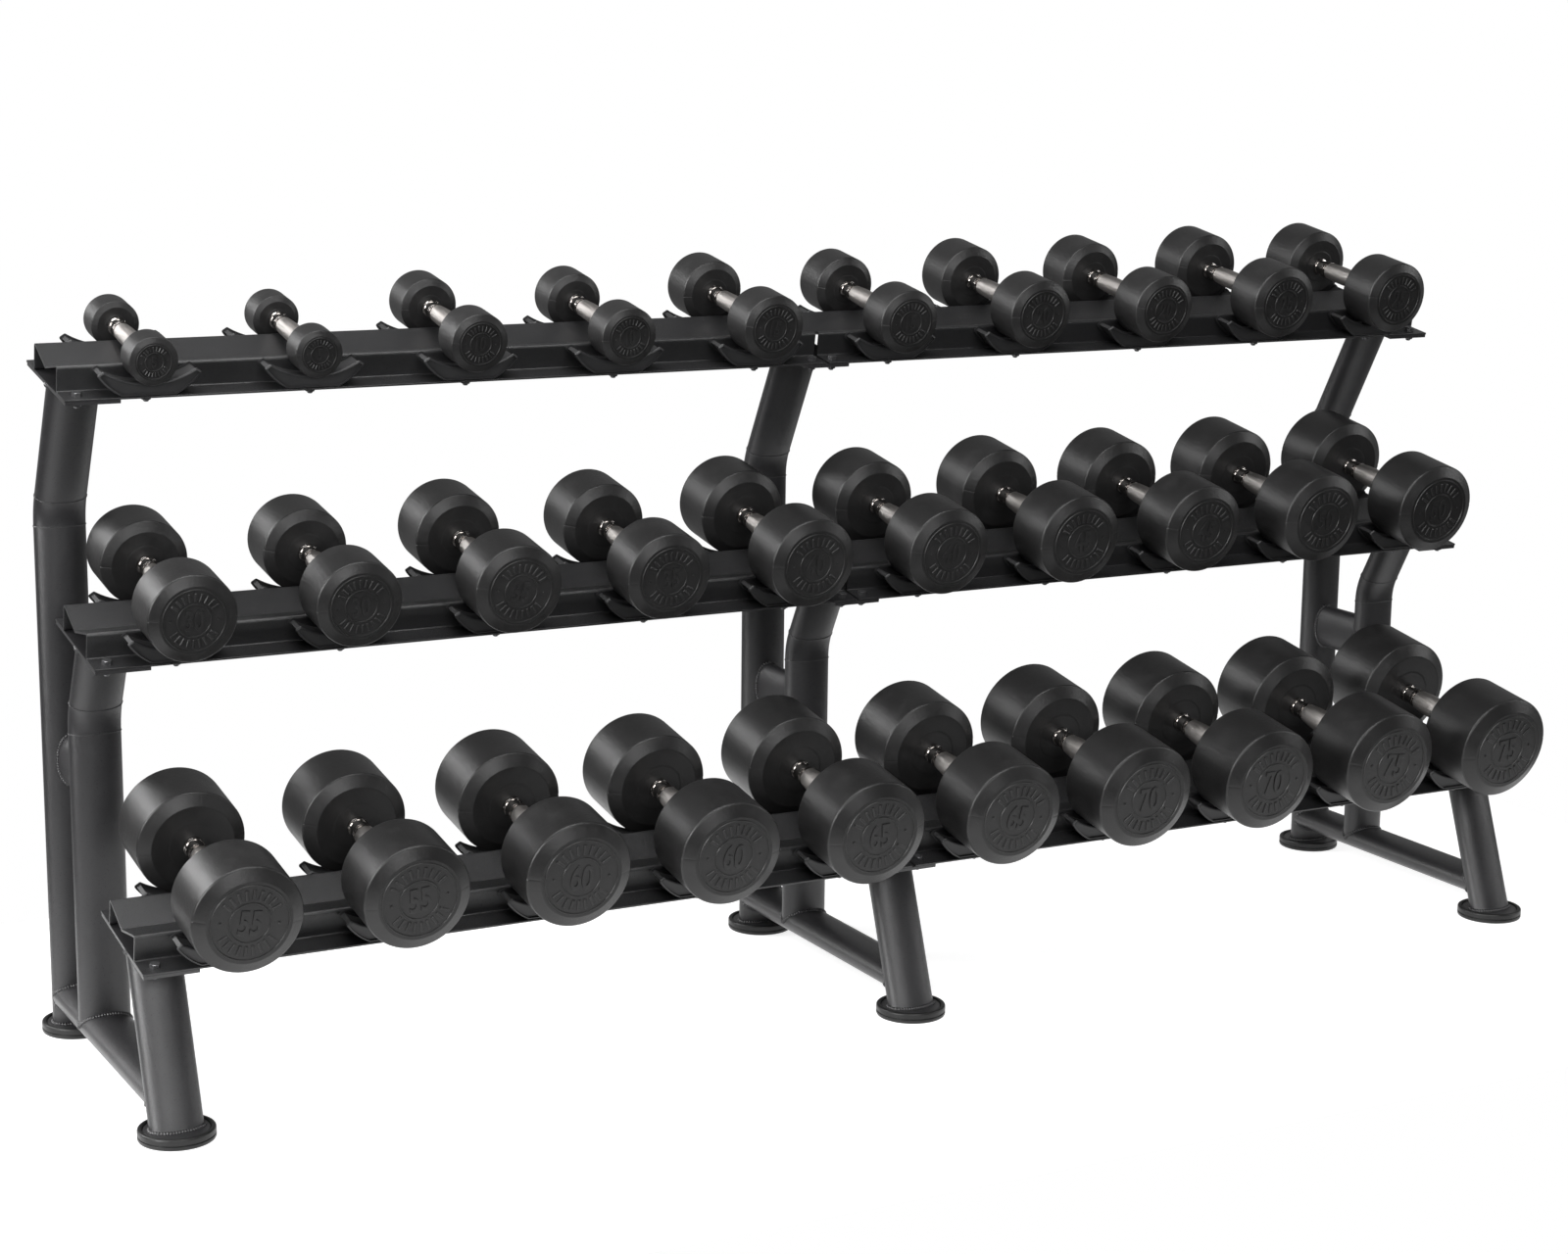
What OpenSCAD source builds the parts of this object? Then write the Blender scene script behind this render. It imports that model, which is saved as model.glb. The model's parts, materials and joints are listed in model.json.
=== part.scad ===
// Three-tier saddle rack with a run of round-head dumbbells.
// X runs along the rack, Y from its front to its back and Z up from the floor.
// The origin is on the floor, below the middle of the whole outline.

/* [Trays] */
// Distance between neighbouring dumbbells along a tray
pitch = 240; // [200:1:290]
// How far every tray tips forward, in degrees
tilt = 10; // [5:0.5:15]
// Thickness of the folded tray sheet
sheet_t = 3; // [2:0.5:4]
// Height of the two top edges above the flanges
wall_h = 39; // [33:0.5:46]
// How far the crease along the middle lies below the top edges
crease_drop = 19.5; // [10:0.5:23]
// Gap between a head and the tray's upright wall
head_room = 8.5; // [4:0.5:10]
// Gap between a saddle and the tray's upright wall
saddle_room = 3; // [1:0.5:6]
// Gap between the left tray and the right tray
joint_gap = 6; // [2:1:12]

/* [Tiers] */
// Height of the bottom tray's front flange
bottom_z = 240; // [200:1:280]
// Rise from the bottom tray to the middle one
rise_low = 381; // [360:1:440]
// Rise from the middle tray to the top one
rise_high = 358; // [335:1:430]
// Step back from the bottom tray to the middle one
step_low = 187; // [170:1:205]
// Step back from the middle tray to the top one
step_high = 106.5; // [95:0.5:120]

/* [Tube frames] */
// Width of the oval tube
tube_w = 76; // [64:1:92]
// Thickness of the oval tube
tube_d = 40; // [34:1:44]
// Wall of the tube
tube_wall = 3; // [2:0.5:4]
// Centreline radius of the bend in each post
bend_r = 95; // [80:1:110]
// How far the bent ends of the posts lean forward, in degrees
post_lean = 28.5; // [24:0.5:32]
// How far the front legs lean back, in degrees
leg_lean = 20.4; // [16:0.2:24]
// Distance from the end of a tray to the middle of the end frame
frame_inset = 40; // [40:1:60]
// Rear post's distance behind the top tray's front bolts
rear_post_back = 187.5; // [175:0.5:200]
// Middle post's distance behind the middle tray's front bolts
middle_post_back = 143; // [130:1:155]
// Where the front leg meets the bottom tray, behind its front bolts
leg_back = 68; // [60:1:90]
// Height of the base tube's centreline
base_z = 54; // [48:1:70]
// Drop from the middle post's bend to the spacer tube
spacer_drop = 33.5; // [5:0.5:120]
// How far the plates that carry the trays reach past the tube's sides
plate_margin = 1; // [0.5:0.5:3]
// Thickness of those plates
plate_t = 5; // [4:0.5:8]

/* [Feet] */
// How far the steel foot disc reaches past the tube's sides
disc_margin = 8; // [5:0.5:12]
// Thickness of the foot disc
disc_t = 8; // [6:0.5:12]
// Wall of the rubber cup around the disc
cup_wall = 7; // [5:0.5:9]
// Rubber under the disc
cup_floor = 6; // [4:0.5:8]
// Height of the rubber cup
cup_h = 16; // [12:0.5:20]

/* [Saddles] */
// Length of a saddle along the dumbbell
saddle_len = 38; // [32:0.5:44]
// Half of the width across a saddle's tips
saddle_half = 75; // [68:0.5:80]
// Half of the width of its flat underside
saddle_base_half = 39; // [34:0.5:46]
// Rise from the middle of the seat to its tips
seat_depth = 19; // [14:0.5:24]
// Height of the blunt end of each tip
saddle_blunt = 6; // [3:0.5:8]
// Gap between the lightest handle's collars and the tray's top edges
edge_room = 1.9; // [1:0.1:8]
// How far the outer flank bulges
flank_bulge = 3; // [1:0.5:4]

/* [Dumbbells] */
// Bare handle between the two heads
grip_gap = 138; // [115:1:160]
// Head diameter of a one-pound dumbbell, from which all heads grow
head_scale = 41; // [35:0.5:48]
// Rim length of a one-pound dumbbell, from which all rims grow
rim_scale = 25; // [22:0.5:27]
// Neck radius of the handles before it grows with the weight
neck_start = 11.3; // [10:0.1:12]
// Grip radius of the handles before it grows with the weight
grip_start = 13.6; // [13:0.1:14.5]
// Length of the collar where a handle meets a head
collar_len = 5; // [3:0.5:8]
// Length of the bare neck between a collar and the grip
neck_len = 16; // [10:0.5:22]

/* [Fasteners] */
// Radius of the bolt shanks
bolt_r = 4; // [3:0.5:4]
// Distance across the flats of the bolt heads and nuts
hex_af = 13; // [11:0.5:13]
// Height of a bolt head
head_t = 5.5; // [4:0.5:6]
// Height of a nut
nut_t = 6.5; // [5:0.5:8]
// Room around a shank in a drilled hole
hole_play = 0.5; // [0.3:0.1:1]
// Offset of the tray bolts from the middle of a frame
tray_bolt_x = 18; // [14:0.5:22]

/* [Hidden] */
$fn = 64;
large_fn = 180;
per_tier = 10;
tiers = 3;
per_tray = per_tier / 2;

// Small gaps that keep neighbouring pieces apart.
seat_play = 0.3;      // under a head on its saddle
handle_play = 0.2;    // between the handle and a head
weld_gap = 0.1;       // root gap at the welds between tubes
thread_play = 0.05;   // around the shank inside a nut
disc_play = 0.5;      // around the disc inside its cup
bolt_tail = 3;        // shank that shows past a nut
past = 1;             // how far a cutting shape runs past the face it cuts
wrench_room = 1;      // around a bolt head in its counterbore
head_sink = 3.5;      // from a saddle's seat down to the bolt head

// Dumbbells: the weight in pounds sets the head, which keeps one shape as it grows.
weight_step = 5;
rim_growth = 0.32;
bevel_share = 0.07;   // of the head's diameter
face_share = 0.385;   // of the head's diameter
neck_growth = 0.036;
grip_growth = 0.07;
collar_lip = 2;       // from the neck out to the collar
grip_lip = 0.8;       // from the neck out to the end of the grip
function tier_of(k) = tiers - 1 - floor(k / per_tier);
function weight(k) = weight_step * (1 + floor(k / 2));
function head_d(w) = head_scale * pow(w, 1 / 3);
function rim_len(w) = rim_scale * pow(w, rim_growth);
function bevel_len(w) = bevel_share * head_d(w);
function face_r(w) = face_share * head_d(w);
function head_len(w) = rim_len(w) + 2 * bevel_len(w);
function neck_r(w) = neck_start + neck_growth * w;
function grip_r(w) = grip_start + grip_growth * w;
function collar_r(w) = neck_r(w) + collar_lip;
count = tiers * per_tier;
lightest = weight(0);
heaviest = weight(count - 1);

// Trays: each is a hat section with a valley between its two top edges. The heads stand
// outside its walls, and the seats hold the lightest handle clear of its top edges.
flange_edge = saddle_len / 2;
flange_inner = saddle_len / 2 + saddle_room;
bolt_span = grip_gap + 2 * (flange_inner - head_room);
crease_h = wall_h - crease_drop;
seat_h = wall_h + edge_room + collar_r(lightest) - head_d(lightest) / 2 - seat_play;
saddle_tip_h = seat_h + seat_depth;
tray_end = per_tray * pitch;
crease_y = bolt_span / 2;
tray_front = -flange_edge;
tray_back = bolt_span + flange_edge;
plate_under = -(sheet_t + plate_t);
plate_w = tube_w + 2 * plate_margin;
tier_z = [bottom_z, bottom_z + rise_low, bottom_z + rise_low + rise_high];
tier_names = ["bottom", "middle", "top"];

// Depth positions run from the rear post's axis and are centred at the end.
top_y = -rear_post_back;
tier_y = [top_y - step_high - step_low, top_y - step_high, top_y];
frame_x = tray_end - frame_inset;
frames = [-frame_x, 0, frame_x];
frame_names = ["left", "centre", "right"];
middle_post_y = tier_y[1] + middle_post_back;
disc_top = cup_floor + disc_t;
disc_r = tube_w / 2 + disc_margin;
cup_r = disc_r + disc_play + cup_wall;

// A point of a tier's own frame, as seen from the side: [y, z].
function from_tier(t, back, up) = [
    tier_y[t] + back * cos(tilt) - up * sin(tilt),
    tier_z[t] + back * sin(tilt) + up * cos(tilt)
];
rear_top = from_tier(2, crease_y, plate_under);
middle_top = from_tier(1, crease_y, plate_under);
leg_top = from_tier(0, leg_back, plate_under);
function leg_y(z) = leg_top[0] - (leg_top[1] - z) * tan(leg_lean);

// Where a post starts to bend, below the point its two axes would meet at.
function bend_z(post_y, top) = top[1] - (post_y - top[0]) / tan(post_lean) - bend_r * tan(post_lean / 2);
spacer_z = bend_z(middle_post_y, middle_top) - spacer_drop - tube_w / 2;

// The outline's front and back, which set the origin.
front_edge = from_tier(0, crease_y - grip_gap / 2 - head_len(heaviest),
    seat_h + seat_play + head_d(heaviest) / 2 + face_r(heaviest))[0];
centre_y = (front_edge + cup_r) / 2;

// Names such as dumbbell_05_left, for the left and right one of each pair.
sides = ["left", "right"];
function two_digits(n) = n < 10 ? str("0", n) : str(n);
function dumbbell_name(k) = str("dumbbell_", two_digits(weight(k)), "_", sides[k % 2]);

// Puts a shape that is drawn from the rear post's axis into the centred frame.
module centred() {
    translate([0, -centre_y, 0]) children();
}

// Puts a shape into a tier's frame: Y back along the tray, Z out of it.
module on_tier(t) {
    centred() translate([0, tier_y[t], tier_z[t]]) rotate([tilt, 0, 0]) children();
}

// Flat oval: two straight sides joined by half circles.
module flat_oval(w, d) {
    square([w - d, d], center = true);
    for (side = [-1, 1]) {
        translate([side * (w - d) / 2, 0]) circle(d = d);
    }
}

module tube_section() {
    difference() {
        flat_oval(tube_w, tube_d);
        flat_oval(tube_w - 2 * tube_wall, tube_d - 2 * tube_wall);
    }
}

// The tube's whole outline with the weld's root gap around it, for fitting others to it.
module cope_section() {
    flat_oval(tube_w + 2 * weld_gap, tube_d + 2 * weld_gap);
}

// A post of two straight lengths and an elbow: it stands at depth y, and its upper
// length leans forward past the plate.
module post_body(y, top, foot_z) {
    start = bend_z(y, top);
    run = norm(top - [y, start]) + tube_d;
    translate([0, y, foot_z]) linear_extrude(start - weld_gap - foot_z) tube_section();
    translate([0, y - bend_r, start]) {
        rotate([90, 0, 90]) rotate_extrude(angle = post_lean) {
            translate([bend_r, 0]) rotate(90) tube_section();
        }
        rotate([post_lean, 0, 0]) translate([0, bend_r, weld_gap]) linear_extrude(run) tube_section();
    }
}

// Everything above a plate's underside on one tier, for cutting tube ends.
module above_plate(t) {
    translate([0, tier_y[t], tier_z[t]]) rotate([tilt, 0, 0]) {
        translate([-tube_w, -tray_back, plate_under]) cube([2 * tube_w, 3 * tray_back, 4 * tube_d]);
    }
}

// Runs a section along the front leg, past both of its ends.
module along_leg() {
    run = leg_top[1] / cos(leg_lean) + 2 * tube_d;
    translate([0, leg_y(0), 0]) rotate([-leg_lean, 0, 0]) {
        translate([0, 0, -tube_d]) linear_extrude(run) children();
    }
}

// Runs a section along the base tube, from the rear post's axis to the front leg's.
module along_base() {
    translate([0, 0, base_z]) rotate([90, 0, 0]) linear_extrude(-leg_y(base_z)) children();
}

// Runs a section straight up at depth y, around height z.
module upright(y, z) {
    translate([0, y, z - tube_w]) linear_extrude(2 * tube_w) children();
}

module rear_post(x) {
    color("#2f3032") centred() translate([x, 0, 0]) difference() {
        post_body(0, rear_top, disc_top);
        above_plate(2);
    }
}

module middle_post(x) {
    color("#2f3032") centred() translate([x, 0, 0]) difference() {
        post_body(middle_post_y, middle_top, base_z);
        above_plate(1);
        along_base() cope_section();
    }
}

module front_leg(x) {
    color("#2f3032") centred() translate([x, 0, 0]) difference() {
        along_leg() tube_section();
        above_plate(0);
        translate([-tube_w, leg_y(0) - tube_w, -tube_w]) {
            cube([2 * tube_w, 2 * tube_w, tube_w + disc_top]);
        }
    }
}

module base_tube(x) {
    color("#2f3032") centred() translate([x, 0, 0]) difference() {
        along_base() tube_section();
        upright(0, base_z) cope_section();
        along_leg() cope_section();
    }
}

// Spacers stand on edge between the two posts of each frame.
module spacer_tubes() {
    color("#2f3032") centred() for (x = frames) translate([x, 0, spacer_z]) difference() {
        rotate([90, 0, 0]) linear_extrude(-middle_post_y) rotate(90) tube_section();
        for (y = [0, middle_post_y]) {
            upright(y, 0) cope_section();
        }
    }
}

// Bolt places along X where a tray is fixed to the frames.
function tray_bolts_x(side) = [side * tray_bolt_x, side * (frame_x + tray_bolt_x)];

module mounting_plates(t) {
    color("#2f3032") on_tier(t) difference() {
        for (x = frames) {
            translate([x - plate_w / 2, tray_front, plate_under]) {
                cube([plate_w, tray_back - tray_front, plate_t]);
            }
        }
        for (side = [-1, 1], x = tray_bolts_x(side), y = [0, bolt_span]) {
            translate([x, y, plate_under - past]) cylinder(r = bolt_r + hole_play, h = plate_t + 2 * past);
        }
    }
}

// Section of the folded sheet, as [depth, height] from its front edge to its rear one and back under.
valley_slope = atan((wall_h - crease_h) / (crease_y - flange_inner));
function valley_under(y) = wall_h - (y - flange_inner) * tan(valley_slope) - sheet_t / cos(valley_slope);
inner_wall = flange_inner + sheet_t;
upper_half = [[tray_front, -sheet_t], [tray_front, 0], [flange_inner, 0], [flange_inner, wall_h]];
under_half = [[inner_wall, valley_under(inner_wall)], [inner_wall, -sheet_t]];
function mirrored(points) = [for (i = [len(points) - 1 : -1 : 0]) [bolt_span - points[i][0], points[i][1]]];
tray_outline = concat(
    upper_half, [[crease_y, crease_h]], mirrored(upper_half),
    mirrored(under_half), [[crease_y, valley_under(crease_y)]], under_half
);

function saddle_x(i) = (i - (per_tier - 1) / 2) * pitch;

module tray(t, side) {
    length = tray_end - joint_gap / 2;
    color("#37383a") on_tier(t) difference() {
        translate([side < 0 ? -tray_end : joint_gap / 2, 0, 0]) {
            rotate([90, 0, 90]) linear_extrude(length) polygon(tray_outline);
        }
        for (i = [0 : per_tier - 1], y = [0, bolt_span]) {
            if (side * saddle_x(i) > 0) {
                translate([saddle_x(i), y, -sheet_t - past]) {
                    cylinder(r = bolt_r + hole_play, h = sheet_t + 2 * past);
                }
            }
        }
        for (x = tray_bolts_x(side), y = [0, bolt_span]) {
            translate([x, y, -sheet_t - past]) cylinder(r = bolt_r + hole_play, h = sheet_t + 2 * past);
        }
    }
}

// Saddle: a block with bulging flanks and a round seat, screwed down through its middle.
sag = saddle_tip_h - seat_h;
seat_r = (saddle_half * saddle_half + sag * sag) / (2 * sag);
hex_r = hex_af / (2 * cos(30));
counterbore_r = hex_r + wrench_room;
counterbore_d = head_t + head_sink;

module saddle_outline() {
    foot = [saddle_base_half, 0];
    tip = [saddle_half, saddle_tip_h - saddle_blunt];
    chord = norm(tip - foot);
    flank_r = (chord * chord / 4 + flank_bulge * flank_bulge) / (2 * flank_bulge);
    inward = [foot[1] - tip[1], tip[0] - foot[0]] / chord;
    centre = (foot + tip) / 2 + (flank_r - flank_bulge) * inward;
    difference() {
        intersection() {
            translate([-saddle_half, 0]) square([2 * saddle_half, saddle_tip_h]);
            translate(centre) circle(flank_r, $fn = large_fn);
            translate([-centre[0], centre[1]]) circle(flank_r, $fn = large_fn);
        }
        translate([0, seat_h + seat_r]) circle(seat_r, $fn = large_fn);
    }
}

module saddle() {
    difference() {
        translate([0, saddle_len / 2, 0]) rotate([90, 0, 0]) linear_extrude(saddle_len) saddle_outline();
        translate([0, 0, -past]) cylinder(r = bolt_r + hole_play, h = seat_h + 2 * past);
        translate([0, 0, seat_h - counterbore_d]) cylinder(r = counterbore_r, h = counterbore_d + past);
    }
}

module saddles(t) {
    color("#1b1c1d") on_tier(t) for (i = [0 : per_tier - 1], y = [0, bolt_span]) {
        translate([saddle_x(i), y, 0]) saddle();
    }
}

// Places where a foot stands, as [x, y].
feet = [for (x = frames, y = [0, leg_y(disc_top)]) [x, y]];

module foot_discs() {
    color("#2f3032") centred() for (p = feet) {
        translate([p[0], p[1], cup_floor]) cylinder(r = disc_r, h = disc_t);
    }
}

// Rubber cup with a groove around its outside, a third of the way up.
module rubber_cup() {
    groove = 1.5;
    difference() {
        cylinder(r = cup_r, h = cup_h);
        translate([0, 0, cup_floor]) cylinder(r = disc_r + disc_play, h = cup_h);
        translate([0, 0, cup_h / 3]) difference() {
            cylinder(r = cup_r + past, h = groove);
            translate([0, 0, -past]) cylinder(r = cup_r - groove, h = groove + 2 * past);
        }
    }
}

module rubber_cups() {
    color("#121213") centred() for (p = feet) {
        translate([p[0], p[1], 0]) rubber_cup();
    }
}

module hex(height) {
    cylinder(r = hex_r, h = height, $fn = 6);
}

// A bolt whose head rests at height 0 and whose shank passes a stack and a nut.
module bolt(stack) {
    below = stack + nut_t + bolt_tail;
    hex(head_t);
    translate([0, 0, -below]) cylinder(r = bolt_r, h = below + past);
}

module nut() {
    difference() {
        hex(nut_t);
        translate([0, 0, -past]) cylinder(r = bolt_r + thread_play, h = nut_t + 2 * past);
    }
}

saddle_stack = seat_h - counterbore_d + sheet_t;

module saddle_bolts() {
    color("#26272a") for (t = [0 : tiers - 1]) on_tier(t) {
        for (i = [0 : per_tier - 1], y = [0, bolt_span]) {
            translate([saddle_x(i), y, seat_h - counterbore_d]) bolt(saddle_stack);
        }
    }
}

module tray_bolts() {
    color("#26272a") for (t = [0 : tiers - 1]) on_tier(t) {
        for (side = [-1, 1], x = tray_bolts_x(side), y = [0, bolt_span]) {
            translate([x, y, 0]) bolt(-plate_under);
        }
    }
}

module nuts() {
    color("#26272a") for (t = [0 : tiers - 1]) on_tier(t) {
        for (i = [0 : per_tier - 1], y = [0, bolt_span]) {
            translate([saddle_x(i), y, -sheet_t - nut_t]) nut();
        }
        for (side = [-1, 1], x = tray_bolts_x(side), y = [0, bolt_span]) {
            translate([x, y, plate_under - nut_t]) nut();
        }
    }
}

// Half of a head's section: [radius, distance from the handle's end].
function head_section(w) = let (r = head_d(w) / 2, b = bevel_len(w), far = head_len(w)) [
    [0, 0], [face_r(w), 0], [r, b], [r, far - b], [face_r(w), far], [0, far]
];

// The handle: a collar at each end, slim necks and a grip that swells in the middle.
module handle(w) {
    half = grip_gap / 2 - handle_play;
    grip_half = half - collar_len - neck_len;
    grip_end_r = neck_r(w) + grip_lip;
    steps = 8;
    end_angle = 80;
    swell = [for (s = [-steps : steps])
        [grip_end_r + (grip_r(w) - grip_end_r) * cos(end_angle * s / steps), grip_half * s / steps]];
    end = [[neck_r(w), grip_half], [neck_r(w), half - collar_len],
        [collar_r(w), half - collar_len], [collar_r(w), half], [0, half]];
    other_end = [for (i = [len(end) - 1 : -1 : 0]) [end[i][0], -end[i][1]]];
    rotate_extrude() polygon(concat(other_end, swell, end));
}

module dumbbell(k) {
    w = weight(k);
    color("#161617") on_tier(tier_of(k)) {
        height = seat_h + seat_play + head_d(w) / 2;
        translate([saddle_x(k % per_tier), crease_y, height]) rotate([-90, 0, 0]) {
            handle(w);
            for (end = [0, 1]) mirror([0, 0, end]) {
                translate([0, 0, grip_gap / 2]) rotate_extrude() polygon(head_section(w));
            }
        }
    }
}

for (f = [0 : 2]) {
    rear_post(frames[f]);
    middle_post(frames[f]);
    front_leg(frames[f]);
    base_tube(frames[f]);
}
spacer_tubes();
for (t = [0 : tiers - 1]) {
    mounting_plates(t);
    tray(t, -1);
    tray(t, 1);
    saddles(t);
}
foot_discs();
rubber_cups();
saddle_bolts();
tray_bolts();
nuts();
for (k = [0 : count - 1]) {
    dumbbell(k);
}
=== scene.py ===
# %% [markdown]
# # A three-tier dumbbell rack
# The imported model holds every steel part, its place and its joints. This lesson dresses it:
# folded trays, saddles, welds, feet, and thirty dumbbells with their rubber and chrome.
# Nothing from the frame is moved. A piece that needs finer shape is built in the same place
# and stands for its plain solid.

# %% Load the frame
import json
import math

import bmesh
import bpy
from mathutils import Matrix, Vector

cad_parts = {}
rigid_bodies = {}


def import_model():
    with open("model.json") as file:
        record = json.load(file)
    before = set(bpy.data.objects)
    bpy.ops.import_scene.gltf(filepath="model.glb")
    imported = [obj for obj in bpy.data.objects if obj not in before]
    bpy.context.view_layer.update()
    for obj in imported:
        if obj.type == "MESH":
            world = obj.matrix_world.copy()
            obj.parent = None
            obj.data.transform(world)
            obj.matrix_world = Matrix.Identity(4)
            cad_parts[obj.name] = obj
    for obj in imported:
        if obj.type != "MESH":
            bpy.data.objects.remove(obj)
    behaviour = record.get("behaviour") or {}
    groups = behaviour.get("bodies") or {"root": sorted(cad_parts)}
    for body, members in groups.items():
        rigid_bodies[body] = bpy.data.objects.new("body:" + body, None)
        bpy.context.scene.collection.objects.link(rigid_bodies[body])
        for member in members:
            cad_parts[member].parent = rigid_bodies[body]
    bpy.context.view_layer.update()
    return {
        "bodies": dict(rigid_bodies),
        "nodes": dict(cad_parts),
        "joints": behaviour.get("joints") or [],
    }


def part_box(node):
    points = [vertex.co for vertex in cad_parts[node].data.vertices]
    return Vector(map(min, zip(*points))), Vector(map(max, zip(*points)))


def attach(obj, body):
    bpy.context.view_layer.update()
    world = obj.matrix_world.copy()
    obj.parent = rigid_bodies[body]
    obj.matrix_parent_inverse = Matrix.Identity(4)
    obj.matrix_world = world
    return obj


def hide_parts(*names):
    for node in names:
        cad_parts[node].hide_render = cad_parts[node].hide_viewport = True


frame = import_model()
nodes = frame["nodes"]

# %% [markdown]
# ## Directions and places
# Each dumbbell slides straight out of its tray, so the joints' axis tells how the trays tip.
# Two more directions follow from it, and a node's reach along them gives sizes without
# reading a drawing.

# %% Directions and places
MM = 0.001
ALONG = Vector((1, 0, 0))
OUT = Vector(frame["joints"][0]["axis"]).normalized()
BACK = OUT.cross(ALONG)
UP = Vector((0, 0, 1))


def reach(node, direction):
    """How far a node's points lie along a direction: (least, most)."""
    far = [v.co.dot(direction) for v in nodes[node].data.vertices]
    return min(far), max(far)


def middle(span):
    return (span[0] + span[1]) / 2


def axes_at(place, x_axis, y_axis, z_axis):
    """A matrix whose columns are three axes and a place."""
    turn = Matrix((x_axis, y_axis, z_axis)).transposed().to_4x4()
    return Matrix.Translation(place) @ turn


SHEET = 3 * MM
FLANGE_EDGE = 19 * MM
FLANGE_INNER = 22 * MM
TIERS = ("bottom", "middle", "top")
FRAMES = ("left", "centre", "right")


def tier_frame(tier):
    """Along, back and out of a tray, from its front row of bolts on the flange's top face."""
    node = f"tray_{tier}_left"
    place = BACK * (reach(node, BACK)[0] + FLANGE_EDGE) + OUT * (reach(node, OUT)[0] + SHEET)
    return axes_at(place, ALONG, BACK, OUT)


tier_frames = {tier: tier_frame(tier) for tier in TIERS}
tray_depth = reach("tray_top_left", BACK)[1] - reach("tray_top_left", BACK)[0]
BOLT_SPAN = tray_depth - 2 * FLANGE_EDGE
print("trays tip", round(math.degrees(math.asin(-OUT.y)), 1), "degrees; bolts span", round(BOLT_SPAN, 4))

# %% [markdown]
# ## Camera
# A long lens from the left and a little above keeps the three trays nearly parallel and
# still shows the fronts of the heads. The camera stands at a given place, is aimed by a
# heading and a pitch, and is turned slightly about its own axis.

# %% Camera
heading = math.radians(28.418)
pitch = math.radians(11.573)
roll = math.radians(0.672)
look = Vector((math.sin(heading) * math.cos(pitch), math.cos(heading) * math.cos(pitch), -math.sin(pitch)))
level_right = Vector((math.cos(heading), -math.sin(heading), 0))
level_up = level_right.cross(look)
right = math.cos(roll) * level_right + math.sin(roll) * level_up
upright = -math.sin(roll) * level_right + math.cos(roll) * level_up
camera_data = bpy.data.cameras.new("studio_camera")
camera_data.lens = 67.9
camera_data.sensor_width = 36
camera_data.clip_end = 60
camera = bpy.data.objects.new("studio_camera", camera_data)
camera.matrix_world = axes_at(Vector((-2.2499, -3.948, 1.4972)), right, upright, -look)
bpy.context.scene.collection.objects.link(camera)
bpy.context.scene.camera = camera

# %% [markdown]
# ## Light
# Dark rubber and dark paint show only what they reflect. The surround is nearly black on
# the camera's side, so the faces that look at the camera stay dark, and it is white only
# where the camera itself sees it. Big soft panels above and to the left draw the pale
# bands along tubes and rims.

# %% Lights and floor
def panel(name, place, target, size, power):
    """A soft rectangular light that faces a target."""
    light = bpy.data.lights.new(name, "AREA")
    light.shape = "RECTANGLE"
    light.size, light.size_y = size
    light.energy = power
    lamp = bpy.data.objects.new(name, light)
    lamp.location = place
    lamp.rotation_euler = (Vector(target) - Vector(place)).to_track_quat("-Z", "Y").to_euler()
    bpy.context.scene.collection.objects.link(lamp)


panel("overhead_panel", (-0.8, -0.7, 3.2), (0, 0, 0.6), (4.6, 1.0), 110)
panel("back_left_panel", (-3.6, 2.6, 2.6), (0, 0, 0.7), (1.6, 1.6), 160)
panel("left_panel", (-4.6, -1.4, 1.9), (0, 0, 0.6), (1.4, 2.4), 260)
panel("front_panel", (-1.5, -4.9, 2.3), (0, 0, 0.5), (2.6, 1.8), 120)
panel("right_panel", (4.2, -1.8, 2.0), (0, 0, 0.6), (0.7, 2.4), 45)

world = bpy.data.worlds.new("studio_surround")
bpy.context.scene.world = world
world.use_nodes = True
surround = world.node_tree
direction = surround.nodes.new("ShaderNodeTexCoord").outputs["Generated"]
away = surround.nodes.new("ShaderNodeVectorMath")
away.operation = "DOT_PRODUCT"
away.inputs[1].default_value = (math.sin(heading), math.cos(heading), 0)
fade = surround.nodes.new("ShaderNodeMapRange")
fade.interpolation_type = "SMOOTHSTEP"
for limit, value in (("From Min", -0.1), ("From Max", 0.6), ("To Min", 0.04), ("To Max", 0.26)):
    fade.inputs[limit].default_value = value
seen = surround.nodes.new("ShaderNodeMath")
seen.operation = "MAXIMUM"
surround.links.new(direction, away.inputs[0])
surround.links.new(away.outputs["Value"], fade.inputs["Value"])
surround.links.new(fade.outputs["Result"], seen.inputs[0])
surround.links.new(surround.nodes.new("ShaderNodeLightPath").outputs["Is Camera Ray"], seen.inputs[1])
surround.links.new(seen.outputs["Value"], surround.nodes["Background"].inputs["Strength"])
surround.nodes["Background"].inputs["Color"].default_value = (1, 1, 1, 1)
bpy.context.scene.view_settings.view_transform = "Standard"

# %% [markdown]
# ## Writing finishes as arithmetic
# A finish is easier to read as a sum than as a list of links. A wire stands for one socket
# of a node, and +, -, * and / on wires add the Math nodes that do it.

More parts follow.
